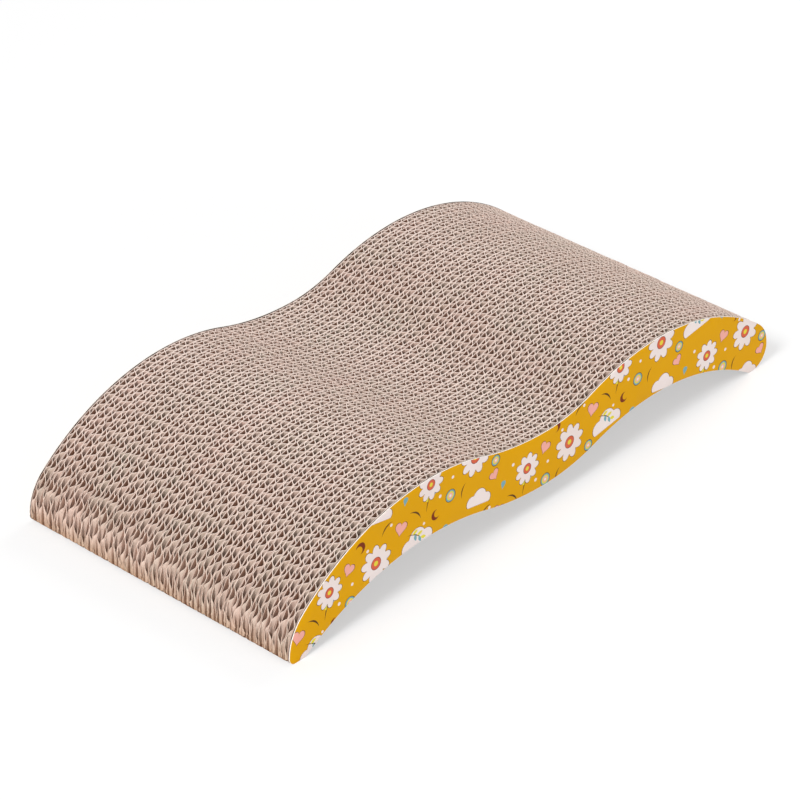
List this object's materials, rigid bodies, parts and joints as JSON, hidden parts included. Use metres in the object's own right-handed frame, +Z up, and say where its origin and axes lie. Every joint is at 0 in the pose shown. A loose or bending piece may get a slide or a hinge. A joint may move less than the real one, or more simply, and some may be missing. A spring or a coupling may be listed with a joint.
{
  "type": "cardboard cat scratcher",
  "caption": "Wave-shaped scratching pad of upright corrugated board strips glued face to face between two printed side boards.",
  "frame": {"origin": "on the floor, in the middle of the length and of the width", "axes": "+X along the length towards the rear end, +Y to the left side, +Z up"},
  "size_m": [0.44, 0.215, 0.07],
  "materials": {
    "kraft_board": "raw kraft corrugated board, matte, paler on its cut edges",
    "printed_board": "white-cored board printed golden yellow with small coloured motifs, satin"
  },
  "bodies": {
    "root": {"strip_01": "kraft_board", "strip_02": "kraft_board", "strip_03": "kraft_board", "strip_04": "kraft_board", "strip_05": "kraft_board", "strip_06": "kraft_board", "strip_07": "kraft_board", "strip_08": "kraft_board", "strip_09": "kraft_board", "strip_10": "kraft_board", "strip_11": "kraft_board", "strip_12": "kraft_board", "strip_13": "kraft_board", "strip_14": "kraft_board", "strip_15": "kraft_board", "strip_16": "kraft_board", "strip_17": "kraft_board", "strip_18": "kraft_board", "strip_19": "kraft_board", "strip_20": "kraft_board", "strip_21": "kraft_board", "strip_22": "kraft_board", "strip_23": "kraft_board", "strip_24": "kraft_board", "strip_25": "kraft_board", "strip_26": "kraft_board", "strip_27": "kraft_board", "strip_28": "kraft_board", "strip_29": "kraft_board", "strip_30": "kraft_board", "strip_31": "kraft_board", "strip_32": "kraft_board", "side_board_right": "printed_board", "side_board_left": "printed_board"}
  },
  "joints": []
}
